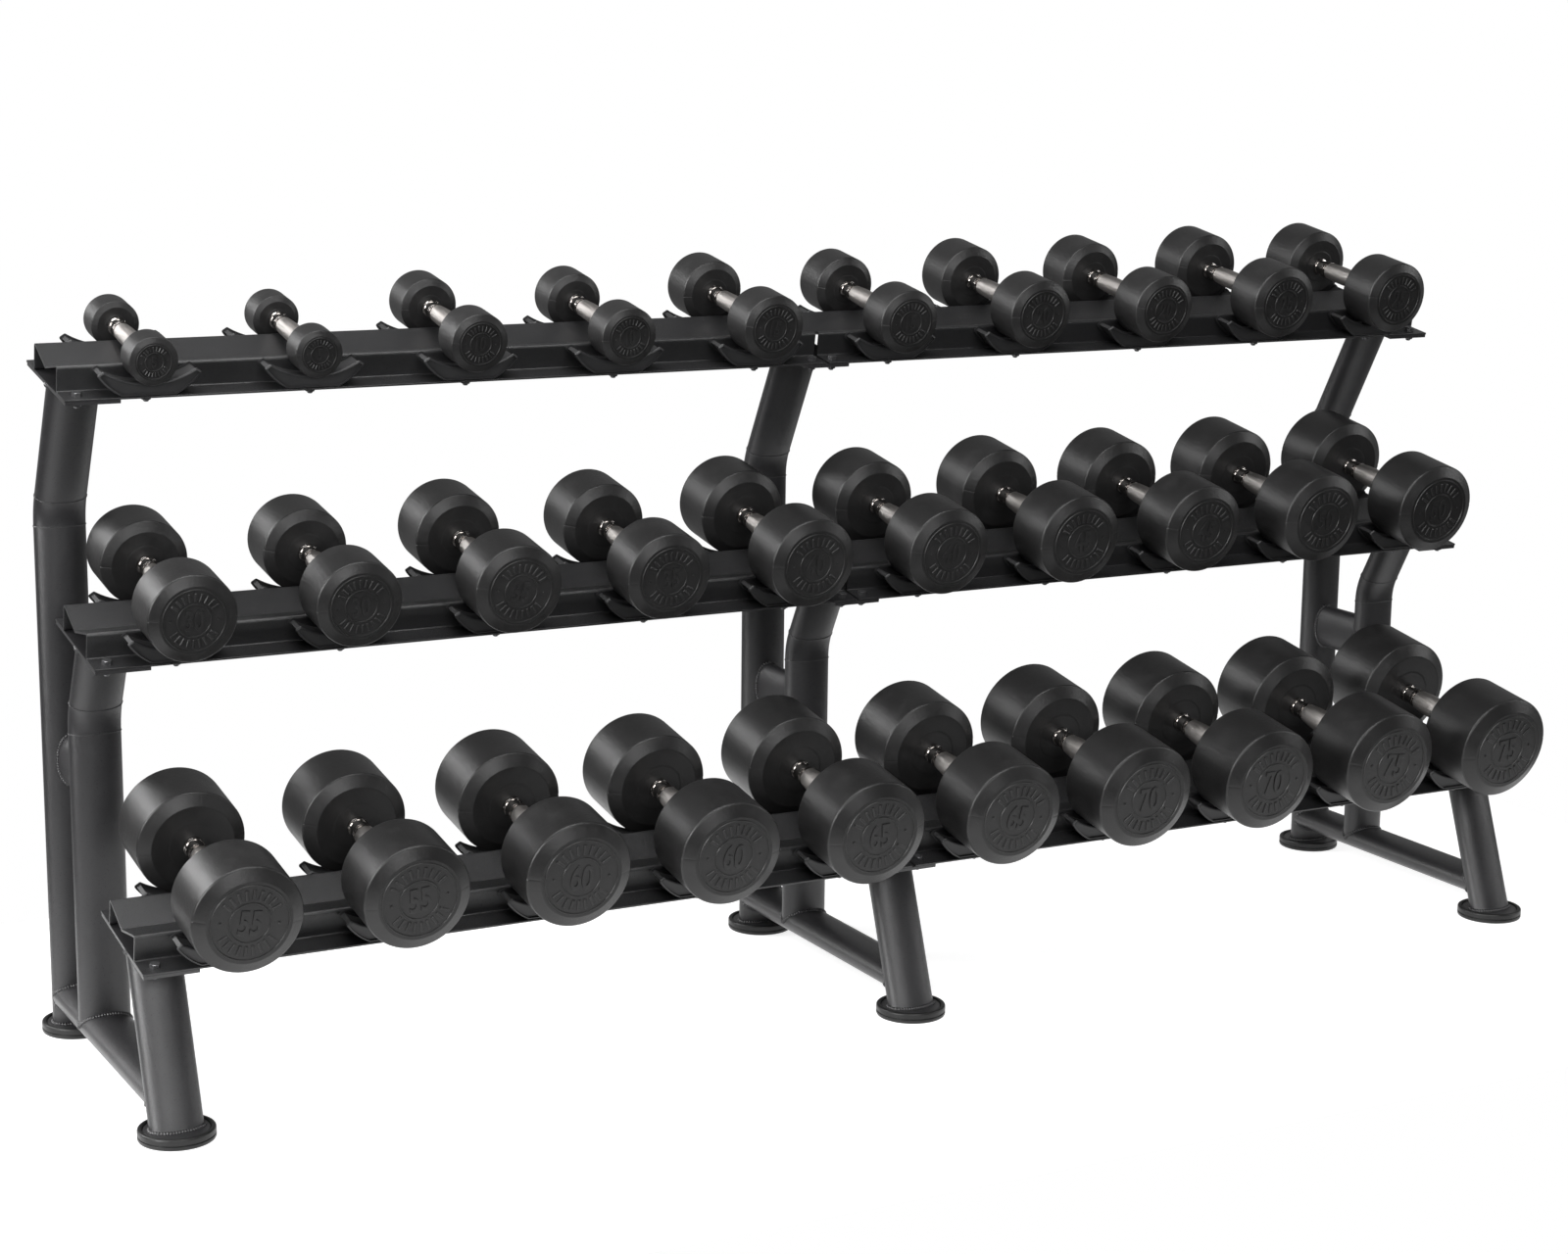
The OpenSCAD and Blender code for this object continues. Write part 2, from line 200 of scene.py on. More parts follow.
# %% A wire and a finish
class Wire:
    """One output socket of a node, for shader arithmetic."""

    def __init__(self, finish, socket):
        self.finish = finish
        self.socket = socket

    def maths(self, operation, first, second=0.0):
        return self.finish.node("ShaderNodeMath", {"operation": operation}, {0: first, 1: second})

    def __add__(self, other):
        return self.maths("ADD", self, other)

    def __sub__(self, other):
        return self.maths("SUBTRACT", self, other)

    def __rsub__(self, other):
        return self.maths("SUBTRACT", other, self)

    def __mul__(self, other):
        return self.maths("MULTIPLY", self, other)

    def __gt__(self, other):
        return self.maths("GREATER_THAN", self, other)

    def __lt__(self, other):
        return self.maths("LESS_THAN", self, other)

    def __abs__(self):
        return self.maths("ABSOLUTE", self)

    __radd__ = __add__
    __rmul__ = __mul__


class Finish:
    """A material in the making, with one way to add any node."""

    def __init__(self, name, **even):
        self.material = bpy.data.materials.new(name)
        self.material.use_nodes = True
        self.tree = self.material.node_tree
        self.shader = self.tree.nodes["Principled BSDF"]
        for socket, value in even.items():
            self.shader.inputs[socket.replace("_", " ")].default_value = value

    def node(self, kind, settings=None, sockets=None, output=0):
        made = self.tree.nodes.new(kind)
        for setting, value in (settings or {}).items():
            if setting == "stops":
                for stop, (place, colour) in zip(made.color_ramp.elements, value):
                    stop.position, stop.color = place, colour
            else:
                setattr(made, setting, value)
        for key, value in (sockets or {}).items():
            self.feed(made.inputs[key], value)
        return Wire(self, made.outputs[output])

    def feed(self, socket, value):
        if isinstance(value, Wire):
            self.tree.links.new(value.socket, socket)
        else:
            socket.default_value = value

    def place(self):
        """The point being shaded, in the piece's own metres."""
        return self.node("ShaderNodeTexCoord", output="Object")

    def noise(self, scale, detail=3.0, rough=0.5, at=None):
        sockets = {"Vector": at or self.place(), "Scale": scale, "Detail": detail, "Roughness": rough}
        return self.node("ShaderNodeTexNoise", sockets=sockets)

    def spread(self, value, low, high):
        """A smooth 0 to 1 where a value runs from low to high."""
        settings = {"interpolation_type": "SMOOTHSTEP"}
        return self.node("ShaderNodeMapRange", settings, {"Value": value, "From Min": low, "From Max": high})

    def blend(self, amount, first, second):
        sockets = {"Factor": amount, 6: (*first, 1), 7: (*second, 1)}
        return self.node("ShaderNodeMix", {"data_type": "RGBA"}, sockets, output=2)

    def relief(self, height, distance, strength=1.0, under=None):
        sockets = {"Height": height, "Distance": distance, "Strength": strength}
        if under:
            sockets["Normal"] = under
        return self.node("ShaderNodeBump", sockets=sockets)

    def set(self, **varying):
        for socket, wire in varying.items():
            self.feed(self.shader.inputs[socket.replace("_", " ")], wire)
        return self.material


# %% [markdown]
# ## Powder coat
# The steel is sprayed with dry charcoal powder and baked, which leaves a satin skin with a
# fine sandy texture. Two noises do it: a coarse one for the slow waves in the baked film
# and a fine one for the grains.

# %% Powder coat
def powder_coat(name, dark, light, grain):
    finish = Finish(name, Metallic=0.0, IOR=1.5, Specular_IOR_Level=0.6)
    waves = finish.noise(9.0, 4.0)
    grains = finish.noise(grain, 2.0, 0.6)
    rubbed = finish.spread(finish.noise(38.0, 5.0, 0.7), 0.56, 0.74)
    film = finish.relief(finish.noise(120.0, 2.0), 0.0002, 0.5)
    # Painted glints: small spots are made lighter in colour to stand in for glints of light on the coat's grains. They
    # are also a little smoother, which is real.
    painted_glints = finish.spread(finish.noise(grain * 0.6, 1.0), 0.62, 0.72)
    return finish.set(
        Base_Color=finish.blend(waves * 0.6 + rubbed * 0.3 + painted_glints * 0.5, dark, light),
        Roughness=0.27 + 0.14 * grains + 0.06 * rubbed - 0.08 * painted_glints,
        Normal=finish.relief(grains, 0.00035, 0.8, under=film),
    )


frame_coat = powder_coat("charcoal_powder_coat", (0.012, 0.0117, 0.0126), (0.026, 0.0255, 0.027), 1300.0)
# The trays get a darker copy of the same charcoal coat: its darker tone is painted shade for the trays' walls and
# undersides.
tray_coat_painted_shade = powder_coat("tray_powder_coat_painted_shade", (0.010, 0.010, 0.0105), (0.020, 0.020, 0.021), 1600.0)

# %% [markdown]
# ## Rubber, plastic and black steel
# The heads are dipped in rubber that comes out of the mould with a skin of very fine
# grain. Handling leaves pale smudges and hair scratches, which are stretched noises that
# only touch colour and roughness. The saddles are a duller plastic, and the screws have a
# thin black oxide that lets the steel shine through.

# %% Rubber, plastic and black steel
def rubber(name, dark, light, roughness):
    finish = Finish(name, Metallic=0.0, IOR=1.5, Specular_IOR_Level=0.36)
    grain = finish.noise(1100.0, 2.0, 0.6)
    mottle = finish.noise(240.0, 3.0, 0.55)
    smudge = finish.spread(finish.noise(14.0, 6.0, 0.65), 0.45, 0.75)
    stretch = finish.node(
        "ShaderNodeMapping", sockets={"Vector": finish.place(), "Scale": (1.0, 1.0, 0.12), "Rotation": (0.3, 0.5, 0.0)}
    )
    hairs = finish.spread(finish.noise(420.0, 3.0, 0.7, at=stretch), 0.66, 0.76)
    return finish.set(
        Base_Color=finish.blend(smudge * 0.5 + hairs * 0.35 + mottle * 0.2, dark, light),
        Roughness=roughness + 0.08 * smudge - 0.05 * hairs + 0.10 * mottle,
        Normal=finish.relief(grain, 0.00025, 0.7, under=finish.relief(mottle, 0.0005, 0.45)),
    )


head_rubber = rubber("dipped_head_rubber", (0.0085, 0.0083, 0.0084), (0.021, 0.0206, 0.0208), 0.30)
cup_rubber = rubber("foot_cup_rubber", (0.005, 0.005, 0.005), (0.012, 0.012, 0.012), 0.32)


def saddle_plastic():
    finish = Finish("saddle_plastic", Metallic=0.0, IOR=1.47)
    grain = finish.noise(800.0, 3.0, 0.6)
    cloud = finish.noise(25.0, 4.0)
    return finish.set(
        Base_Color=finish.blend(cloud, (0.011, 0.011, 0.0115), (0.024, 0.024, 0.025)),
        Roughness=0.42 + 0.14 * grain,
        Normal=finish.relief(grain, 0.00015, 0.5),
    )


def black_oxide():
    finish = Finish("black_oxide_steel", Metallic=0.85)
    cloud = finish.noise(160.0, 4.0)
    return finish.set(
        Base_Color=finish.blend(cloud, (0.10, 0.10, 0.104), (0.22, 0.22, 0.225)),
        Roughness=0.2 + 0.2 * cloud,
        Normal=finish.relief(finish.noise(900.0, 2.0), 0.0001, 0.4),
    )


saddle_finish = saddle_plastic()
oxide = black_oxide()

# %% [markdown]
# ## Chrome with a knurled grip
# The handle is turned, plated and then rolled between toothed wheels that press a diamond
# pattern into the grip. Two sets of ridges that wind opposite ways round the bar give the
# diamonds. A mask by distance from the middle keeps the necks polished.

# %% Chrome and knurling
GRIP_HALF = 37 * MM
KNURL = 1.5 * MM


def knurled_chrome():
    finish = Finish("knurled_chrome", Metallic=1.0)
    place = finish.place()
    parts = finish.node("ShaderNodeSeparateXYZ", sockets={"Vector": place})
    split = parts.socket.node.outputs
    x, y, z = (Wire(finish, split[axis]) for axis in "XYZ")
    turn = x.maths("ARCTAN2", y, x) * (40 / math.tau)
    rise = z * (1 / KNURL)
    one_way = (turn + rise).maths("PINGPONG", turn + rise, 0.5)
    other_way = (turn - rise).maths("PINGPONG", turn - rise, 0.5)
    on_grip = abs(z) < GRIP_HALF
    diamonds = one_way.maths("MINIMUM", one_way, other_way) * on_grip
    wear = finish.noise(60.0, 5.0, 0.6)
    scratches = finish.noise(900.0, 2.0)
    return finish.set(
        Base_Color=finish.blend(on_grip * (0.6 + 0.4 * wear), (0.42, 0.40, 0.385), (0.34, 0.322, 0.308)),
        Roughness=0.07 + 0.10 * wear + 0.22 * on_grip + 0.04 * scratches,
        Normal=finish.relief(diamonds, 0.0006, 0.8),
    )


chrome = knurled_chrome()


def floor_finish():
    finish = Finish("pale_floor", Metallic=0.0, Emission_Color=(1, 1, 1, 1), Emission_Strength=0.8)
    cloud = finish.noise(0.8, 2.0)
    return finish.set(
        Base_Color=finish.blend(cloud, (0.48, 0.48, 0.48), (0.5, 0.5, 0.5)),
        Roughness=0.6 + 0.05 * cloud,
    )


print("finishes:", len(bpy.data.materials))

# %% [markdown]
# ## Outlines with soft corners
# Pressed, folded and moulded parts have no sharp corners, and the thin bright line along a
# rounded edge is what makes a dark part readable. One helper rounds each corner of an
# outline with an arc, for lathe profiles and for extruded sections alike.

# %% Rounded outlines
def soften(points, radii, steps=4, closed=False):
    """An outline with each corner cut back and replaced by an arc of its own radius."""
    points = [Vector(p) for p in points]
    count = len(points)
    soft = []
    for i, corner in enumerate(points):
        radius = radii[i] if isinstance(radii, (list, tuple)) else radii
        if (not closed and i in (0, count - 1)) or radius <= 0:
            soft.append(corner)
            continue
        before = points[i - 1] - corner
        after = points[(i + 1) % count] - corner
        half = before.angle(after) / 2
        cut = min(radius / math.tan(half), before.length * 0.49, after.length * 0.49)
        radius = cut * math.tan(half)
        centre = corner + (before.normalized() + after.normalized()).normalized() * (radius / math.sin(half))
        start = corner + before.normalized() * cut - centre
        end = corner + after.normalized() * cut - centre
        sweep = start.angle(end)
        for s in range(steps + 1):
            t = s / steps
            if sweep < 1e-4:
                soft.append(centre + start.lerp(end, t))
            else:
                soft.append(centre + (start * math.sin((1 - t) * sweep) + end * math.sin(t * sweep)) / math.sin(sweep))
    return soft


# %% [markdown]
# ## Turning, extruding and finishing a mesh
# Most of the rack's small parts are turned on a lathe or cut from a bar, so two builders
# cover them. Both leave closed meshes. The last helper hangs a finished mesh on its body,
# gives it its material and says which plain solids it stands for.

# %% Mesh builders
def lathe(bm, profile, angles, place=Matrix.Identity(4), squeeze=None):
    """Turns (radius, height) points about local Z. squeeze(angle, point) may move a point."""
    rings = []
    for radius, height in profile:
        if radius < 1e-7:
            rings.append([bm.verts.new(place @ Vector((0, 0, height)))])
            continue
        ring = []
        for a in angles:
            r, h = squeeze(a, (radius, height)) if squeeze else (radius, height)
            ring.append(bm.verts.new(place @ Vector((r * math.cos(a), r * math.sin(a), h))))
        rings.append(ring)
    for low, high in zip(rings, rings[1:]):
        count = max(len(low), len(high))
        for i in range(count):
            j = (i + 1) % count
            if len(low) == 1:
                bm.faces.new((low[0], high[j], high[i]))
            elif len(high) == 1:
                bm.faces.new((low[i], low[j], high[0]))
            else:
                bm.faces.new((low[i], low[j], high[j], high[i]))


def even_angles(count):
    return [math.tau * i / count for i in range(count)]


def extrude(bm, outline, low, high, place):
    """Extrudes a closed outline of (y, z) points along local X from low to high."""
    ends = [[bm.verts.new(place @ Vector((x, p[0], p[1]))) for p in outline] for x in (low, high)]
    count = len(outline)
    for i in range(count):
        j = (i + 1) % count
        bm.faces.new((ends[0][i], ends[0][j], ends[1][j], ends[1][i]))
    bm.faces.new(ends[0][::-1])
    bm.faces.new(ends[1])


def finish_piece(name, bm, material, body, stands_for=(), crisp=40):
    """Turns a bmesh into a piece that rides on a body."""
    bmesh.ops.recalc_face_normals(bm, faces=bm.faces)
    mesh = bpy.data.meshes.new(name)
    bm.to_mesh(mesh)
    bm.free()
    return hang(name, mesh, material, body, stands_for, crisp)


def hang(name, mesh, material, body, stands_for=(), crisp=40, place=Matrix.Identity(4)):
    mesh.materials.clear()
    mesh.materials.append(material)
    mesh.shade_smooth()
    mesh.set_sharp_from_angle(angle=math.radians(crisp))
    piece = bpy.data.objects.new(name, mesh)
    piece.matrix_world = place
    bpy.context.scene.collection.objects.link(piece)
    weighted = piece.modifiers.new("even_shading", "WEIGHTED_NORMAL")
    weighted.keep_sharp = True
    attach(piece, body)
    if stands_for:
        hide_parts(*stands_for)
    return piece


# The floor ends a little past the rack, so that dark faces don't mirror a wide white plane.
FLOOR_HALF = Vector((1.7, 0.85, 1))


def floor():
    bm = bmesh.new()
    bmesh.ops.create_grid(bm, x_segments=8, y_segments=8, size=1)
    bmesh.ops.scale(bm, vec=FLOOR_HALF, verts=bm.verts)
    mesh = bpy.data.meshes.new("pale_floor")
    bm.to_mesh(mesh)
    bm.free()
    mesh.materials.append(floor_finish())
    ground = bpy.data.objects.new("pale_floor", mesh)
    ground.location.z = -0.0005
    bpy.context.scene.collection.objects.link(ground)


floor()

# %% [markdown]
# ## Plates keep their CAD shape
# The flat plates under the trays are already right, so they only get the powder coat.

# %% Coat the plates
def coat(node, material):
    piece = nodes[node]
    if not piece.material_slots:
        piece.data.materials.append(material)
    for place in piece.material_slots:
        place.material = material


for tier in TIERS:
    coat(f"mounting_plates_{tier}", frame_coat)

# %% [markdown]
# ## Where the tubes stand
# Drawn oval tube is not flat on its wide sides: they are crowned a little, which is what
# spreads a highlight across the whole width. The section is a superellipse as wide and as
# deep as the plain tube. Its place comes from the CAD tubes' own boxes.

# %% Where the tubes stand
CROWN = 2.15
LEG_LEAN = math.radians(20.4)
POST_LEAN = math.radians(28.5)
BEND_RADIUS = 95 * MM

low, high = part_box("base_tube_centre")
tube_half = (high.x - low.x) / 2
tube_round = (high.z - low.z) / 2
base_z = middle((low.z, high.z))
low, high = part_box("spacer_tubes")
spacer_z = middle((low.z, high.z))
rear_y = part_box("rear_post_centre")[1].y - tube_round
middle_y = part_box("middle_post_centre")[1].y - tube_round
disc_low, disc_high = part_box("foot_discs")
disc_r = disc_high.y - rear_y
disc_top = disc_high.z
leg_foot_y = disc_low.y + disc_r
frame_xs = {side: middle(reach(f"rear_post_{side}", ALONG)) for side in FRAMES}


def tube_outline(count=72, turned=False):
    """Points round the tube's crowned oval, as (across, through)."""
    outline = []
    for i in range(count):
        c, s = math.cos(math.tau * i / count), math.sin(math.tau * i / count)
        across = math.copysign(abs(c) ** (2 / CROWN), c) * tube_half
        through = math.copysign(abs(s) ** (2 / CROWN), s) * tube_round
        outline.append((through, across) if turned else (across, through))
    return outline


def half_depth(across):
    """Half the tube's depth at a distance from its middle."""
    return tube_round * max(1 - (abs(across) / tube_half) ** CROWN, 0) ** (1 / CROWN)


def leg_y(z):
    return leg_foot_y + (z - disc_top) * math.tan(LEG_LEAN)


def run_to_plate(ring, direction, tier):
    """Carries a ring of points along a tube's axis to the underside of its plate."""
    under = reach(f"mounting_plates_{tier}", OUT)[0]
    return [p + direction * ((under - p.dot(OUT)) / direction.dot(OUT)) for p in ring]


print("tube", round(2 * tube_half, 4), "base at", round(base_z, 4), "spacer at", round(spacer_z, 4))

# %% [markdown]
# ## Lofting the tubes
# Each tube is a stack of rings. A straight tube needs only its two ends, and each end
# follows the piece that it is welded to. A post adds rings round its elbow, which starts
# where the CAD post starts to lean.

# %% Loft the tubes
def bent_rings(x, y, tier, steps=16):
    """Rings round a post's elbow and the last one under its plate."""
    direction = Vector((0, -math.sin(POST_LEAN), math.cos(POST_LEAN)))
    seat = tier_frames[tier] @ Vector((0, BOLT_SPAN / 2, 0))
    top = seat + OUT * (reach(f"mounting_plates_{tier}", OUT)[0] - seat.dot(OUT))
    bend_z = top.z - (y - top.y) / math.tan(POST_LEAN) - BEND_RADIUS * math.tan(POST_LEAN / 2)
    centre = Vector((x, y - BEND_RADIUS, bend_z))
    rings = []
    for i in range(steps + 1):
        a = POST_LEAN * i / steps
        rings.append(
            [
                centre + Vector((p, (BEND_RADIUS + q) * math.cos(a), (BEND_RADIUS + q) * math.sin(a)))
                for p, q in tube_outline()
            ]
        )
    return rings + [run_to_plate(rings[-1], direction, tier)]


def frame_rings(x):
    """The rings of each tube of one side frame."""
    flat, on_edge = tube_outline(), tube_outline(turned=True)
    stretch = 1 / math.cos(LEG_LEAN)
    leg_foot = [Vector((x + p, leg_foot_y + q * stretch, disc_top)) for p, q in flat]
    lean = Vector((0, math.sin(LEG_LEAN), math.cos(LEG_LEAN)))
    post_foot = [Vector((x + p, rear_y + q, disc_top)) for p, q in flat]
    post_on_base = [Vector((x + p, middle_y + q, base_z + half_depth(p))) for p, q in flat]
    return {
        "rear_post": [post_foot] + bent_rings(x, rear_y, "top"),
        "middle_post": [post_on_base] + bent_rings(x, middle_y, "middle"),
        "front_leg": [leg_foot, run_to_plate(leg_foot, lean, "bottom")],
        "base_tube": [
            [Vector((x + p, rear_y - half_depth(p), base_z + q)) for p, q in flat],
            [Vector((x + p, leg_y(base_z + q) + half_depth(p) * stretch, base_z + q)) for p, q in flat],
        ],
        "spacer_tube": [
            [Vector((x + p, rear_y - half_depth(p), spacer_z + q)) for p, q in on_edge],
            [Vector((x + p, middle_y + half_depth(p), spacer_z + q)) for p, q in on_edge],
        ],
    }


def loft(bm, rings):
    rows = [[bm.verts.new(p) for p in ring] for ring in rings]
    for low, high in zip(rows, rows[1:]):
        for i in range(len(low)):
            j = (i + 1) % len(low)
            bm.faces.new((low[i], low[j], high[j], high[i]))
    bm.faces.new(rows[0][::-1])
    bm.faces.new(rows[-1])


tubes = {side: frame_rings(x) for side, x in frame_xs.items()}
spacers = bmesh.new()
for side, rings in tubes.items():
    for tube in ("rear_post", "middle_post", "front_leg", "base_tube"):
        bm = bmesh.new()
        loft(bm, rings[tube])
        finish_piece(f"drawn_{tube}_{side}", bm, frame_coat, "rack", [f"{tube}_{side}"], crisp=50)
    loft(spacers, rings["spacer_tube"])
finish_piece("drawn_spacer_tubes", spacers, frame_coat, "rack", ["spacer_tubes"], crisp=50)
print("tubes lofted:", 5 * len(tubes))

# %% [markdown]
# ## Weld beads
# The tubes are joined by hand with a welding torch, and each joint carries a bead of small
# overlapping ripples that the powder covers but doesn't hide. A bead is a thin tube along
# the end ring of a loft, and its thickness rises and falls once a ripple. The seams at the
# elbow's ends are ground nearly flush, so their beads are thin.

# %% Lay the beads
RIPPLE = 4 * MM


def even_path(path, step):
    """The same closed path with points an even step apart."""
    loop = path + [path[0]]
    lengths = [(b - a).length for a, b in zip(loop, loop[1:])]
    count = max(24, round(sum(lengths) / step))
    spaced, walked, i = [], 0.0, 0
    for n in range(count):
        goal = sum(lengths) * n / count
        while walked + lengths[i] < goal:
            walked += lengths[i]
            i += 1
        spaced.append(loop[i].lerp(loop[i + 1], (goal - walked) / max(lengths[i], 1e-9)))
    return spaced


def lay_bead(bm, path, thickness, sides=8):
    """A closed rippled tube along a closed path."""
    path = even_path(path, RIPPLE / 4)
    count = len(path)
    centre = sum(path, Vector()) / count
    rings = []
    for i, point in enumerate(path):
        ahead = (path[(i + 1) % count] - path[i - 1]).normalized()
        outward = point - centre
        outward = (outward - ahead * outward.dot(ahead)).normalized()
        side = ahead.cross(outward)
        radius = thickness * (0.72 + 0.45 * abs(math.sin(math.pi * i / 4)))
        ring = []
        for s in range(sides):
            a = math.tau * s / sides
            ring.append(bm.verts.new(point + (outward * math.cos(a) + side * math.sin(a)) * radius))
        rings.append(ring)
    for i in range(count):
        ahead_ring = rings[(i + 1) % count]
        for s in range(sides):
            t = (s + 1) % sides
            bm.faces.new((rings[i][s], rings[i][t], ahead_ring[t], ahead_ring[s]))


WELD, SEAM = 3 * MM, 0.9 * MM


def tucked(path, x):
    """A path kept inside the tube's width, so that its bead doesn't bulge past the edges."""
    room = tube_half - WELD
    return [Vector((x + min(max(p.x - x, -room), room), p.y, p.z)) for p in path]


for side, rings in tubes.items():
    bm = bmesh.new()
    for tube, stack in rings.items():
        for end in (stack[0], stack[-1]):
            lay_bead(bm, tucked(end, frame_xs[side]) if tube == "base_tube" else end, WELD)
        if tube.endswith("post"):
            lay_bead(bm, stack[1], SEAM)
            lay_bead(bm, stack[-2], SEAM)
    finish_piece(f"weld_beads_{side}", bm, frame_coat, "rack", crisp=80)
print("weld beads laid on", len(frame_xs), "frames")

# %% [markdown]
# ## Folded trays
# A press brake folds each tray from one sheet: two flanges, two walls and a shallow valley
# between the top edges. Every fold has an outer radius that is one sheet thicker than its
# inner radius, so the outline's corners alternate between the two.

# %% Folded trays
FOLD_IN = 2 * MM
FOLD_OUT = FOLD_IN + SHEET
WALL_H = reach("tray_top_left", OUT)[1] - reach("tray_top_left", OUT)[0] - SHEET
CREASE_H = 19.5 * MM


def tray_outline():
    """The sheet's closed outline from the front flange over the valley and back under."""
    crease = BOLT_SPAN / 2
    slope = math.atan((WALL_H - CREASE_H) / (crease - FLANGE_INNER))
    drop = SHEET / math.cos(slope)
    inner = FLANGE_INNER + SHEET
    under_top = WALL_H - SHEET * math.tan(slope) - drop
    upper = [(-FLANGE_EDGE, -SHEET), (-FLANGE_EDGE, 0), (FLANGE_INNER, 0), (FLANGE_INNER, WALL_H)]
    upper_radii = [0.8 * MM, 0.8 * MM, FOLD_IN, FOLD_OUT]
    under = [(inner, under_top), (inner, -SHEET)]
    under_radii = [FOLD_IN, FOLD_OUT]

    def mirrored(points):
        return [(BOLT_SPAN - y, z) for y, z in reversed(points)]

    points = upper + [(crease, CREASE_H)] + mirrored(upper) + mirrored(under) + [(crease, CREASE_H - drop)] + under
    radii = upper_radii + [FOLD_IN] + upper_radii[::-1] + under_radii[::-1] + [FOLD_OUT] + under_radii
    return soften([(y, z) for y, z in points], radii, steps=5, closed=True)


folded = tray_outline()
for tier in TIERS:
    for side in ("left", "right"):
        node = f"tray_{tier}_{side}"
        low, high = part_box(node)
        bm = bmesh.new()
        extrude(bm, folded, low.x, high.x, tier_frames[tier])
        finish_piece(f"folded_{node}", bm, tray_coat_painted_shade, "rack", [node], crisp=30)
print("trays:", len(folded), "outline points, wall", round(WALL_H, 4))

# %% [markdown]
# ## Saddles
# A saddle is a block of dense plastic with a round seat, fixed by one screw in a
# counterbore so that nothing hard touches a head. The block is extruded from its outline
# with softened tips, its long edges get a small bevel, and the screw's hole is cut with a
# boolean before sixty copies are laid out.

# %% One saddle
low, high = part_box("saddles_top")
SADDLE_HALF = 75 * MM
SADDLE_BASE = 39 * MM
SADDLE_TIP = 38 * MM
SADDLE_BLUNT = 6 * MM
TIP_THICK = 9 * MM
SADDLE_ROUND = 3 * MM
SADDLE_LONG = 38 * MM
SEAT_H = 19 * MM
BOLT_R = 4 * MM
HEX_FLATS = 13 * MM
COUNTERBORE_R = HEX_FLATS / math.sqrt(3) + 1 * MM
COUNTERBORE_DEEP = 9 * MM


def saddle_outline():
    """Closed (across, height) outline: base, bulging flank, blunt tip and round seat."""
    sag = SADDLE_TIP - SEAT_H
    seat_half = SADDLE_HALF - TIP_THICK
    seat_r = (seat_half**2 + sag**2) / (2 * sag)
    foot, tip = Vector((SADDLE_BASE, 0)), Vector((SADDLE_HALF, SADDLE_TIP - SADDLE_BLUNT))
    bulge, chord = 3 * MM, (tip - foot).length
    outward = Vector((tip.y - foot.y, foot.x - tip.x)) / chord
    steps = 8
    flank = [foot.lerp(tip, s / steps) + outward * bulge * (1 - (2 * s / steps - 1) ** 2) for s in range(steps + 1)]
    reach_angle = math.asin(seat_half / seat_r)
    arc = [reach_angle * (1 - 2 * s / 40) for s in range(41)]
    seat = [Vector((seat_r * math.sin(a), SEAT_H + seat_r * (1 - math.cos(a)))) for a in arc]
    left_flank = [Vector((-p.x, p.y)) for p in reversed(flank)]
    points = flank + seat + left_flank
    blunt = {len(flank) - 1, len(flank), len(flank) + len(seat) - 1, len(flank) + len(seat)}
    radii = [4 * MM if i in blunt else 0.0 for i in range(len(points))]
    return soften(points, radii, steps=8, closed=True)


def shrunk(outline, inset):
    """A closed outline moved inwards by the same distance all round."""
    moved = []
    for i, corner in enumerate(outline):
        one = (corner - outline[i - 1]).normalized()
        two = (outline[(i + 1) % len(outline)] - corner).normalized()
        inward = Vector((-(one + two).y, (one + two).x)).normalized()
        moved.append(corner + inward * (inset / max(inward.dot(Vector((-one.y, one.x))), 0.5)))
    return moved


def carved(mesh, cutters):
    """A mesh with turned holes cut out of it."""
    block = bpy.data.objects.new("block", mesh)
    bpy.context.scene.collection.objects.link(block)
    tools = []
    for profile in cutters:
        bm = bmesh.new()
        lathe(bm, profile, even_angles(48))
        bmesh.ops.recalc_face_normals(bm, faces=bm.faces)
        tool_mesh = bpy.data.meshes.new("cutter")
        bm.to_mesh(tool_mesh)
        bm.free()
        tool = bpy.data.objects.new("cutter", tool_mesh)
        bpy.context.scene.collection.objects.link(tool)
        cut = block.modifiers.new("cut", "BOOLEAN")
        cut.object, cut.operation, cut.solver = tool, "DIFFERENCE", "EXACT"
        tools.append(tool)
    bpy.context.view_layer.update()
    done = bpy.data.meshes.new_from_object(block.evaluated_get(bpy.context.evaluated_depsgraph_get()))
    for used in [block] + tools:
        bpy.data.objects.remove(used)
    return done


def one_saddle():
    bm = bmesh.new()
    outline, rings = saddle_outline(), []
    for end in (-1, 1):
        for turn in (90, 67, 45, 22, 0)[::end]:
            a = math.radians(turn)
            y = end * (SADDLE_LONG / 2 - SADDLE_ROUND * (1 - math.sin(a)))
            rings.append([Vector((p.x, y, p.y)) for p in shrunk(outline, SADDLE_ROUND * (1 - math.cos(a)))])
    loft(bm, rings)
    bmesh.ops.recalc_face_normals(bm, faces=bm.faces)
    mesh = bpy.data.meshes.new("one_saddle")
    bm.to_mesh(mesh)
    bm.free()
    hole_r = BOLT_R + 0.5 * MM
    floor_z = SEAT_H - COUNTERBORE_DEEP
    hole = [(0, -5 * MM), (hole_r, -5 * MM), (hole_r, floor_z), (COUNTERBORE_R, floor_z)]
    mouth = [(COUNTERBORE_R, SEAT_H - 1 * MM), (COUNTERBORE_R + 2 * MM, SEAT_H + 1 * MM), (0, SEAT_H + 1 * MM)]
    return carved(mesh, [hole + mouth])


saddle_mesh = one_saddle()
print("one saddle:", len(saddle_mesh.polygons), "faces")

# %% [markdown]
# ## Laying out the saddles
# Ten pairs stand on each tray, one on the front flange and one on the rear one. Copies of
# the same mesh are joined into one piece per tray pair, because they never part.

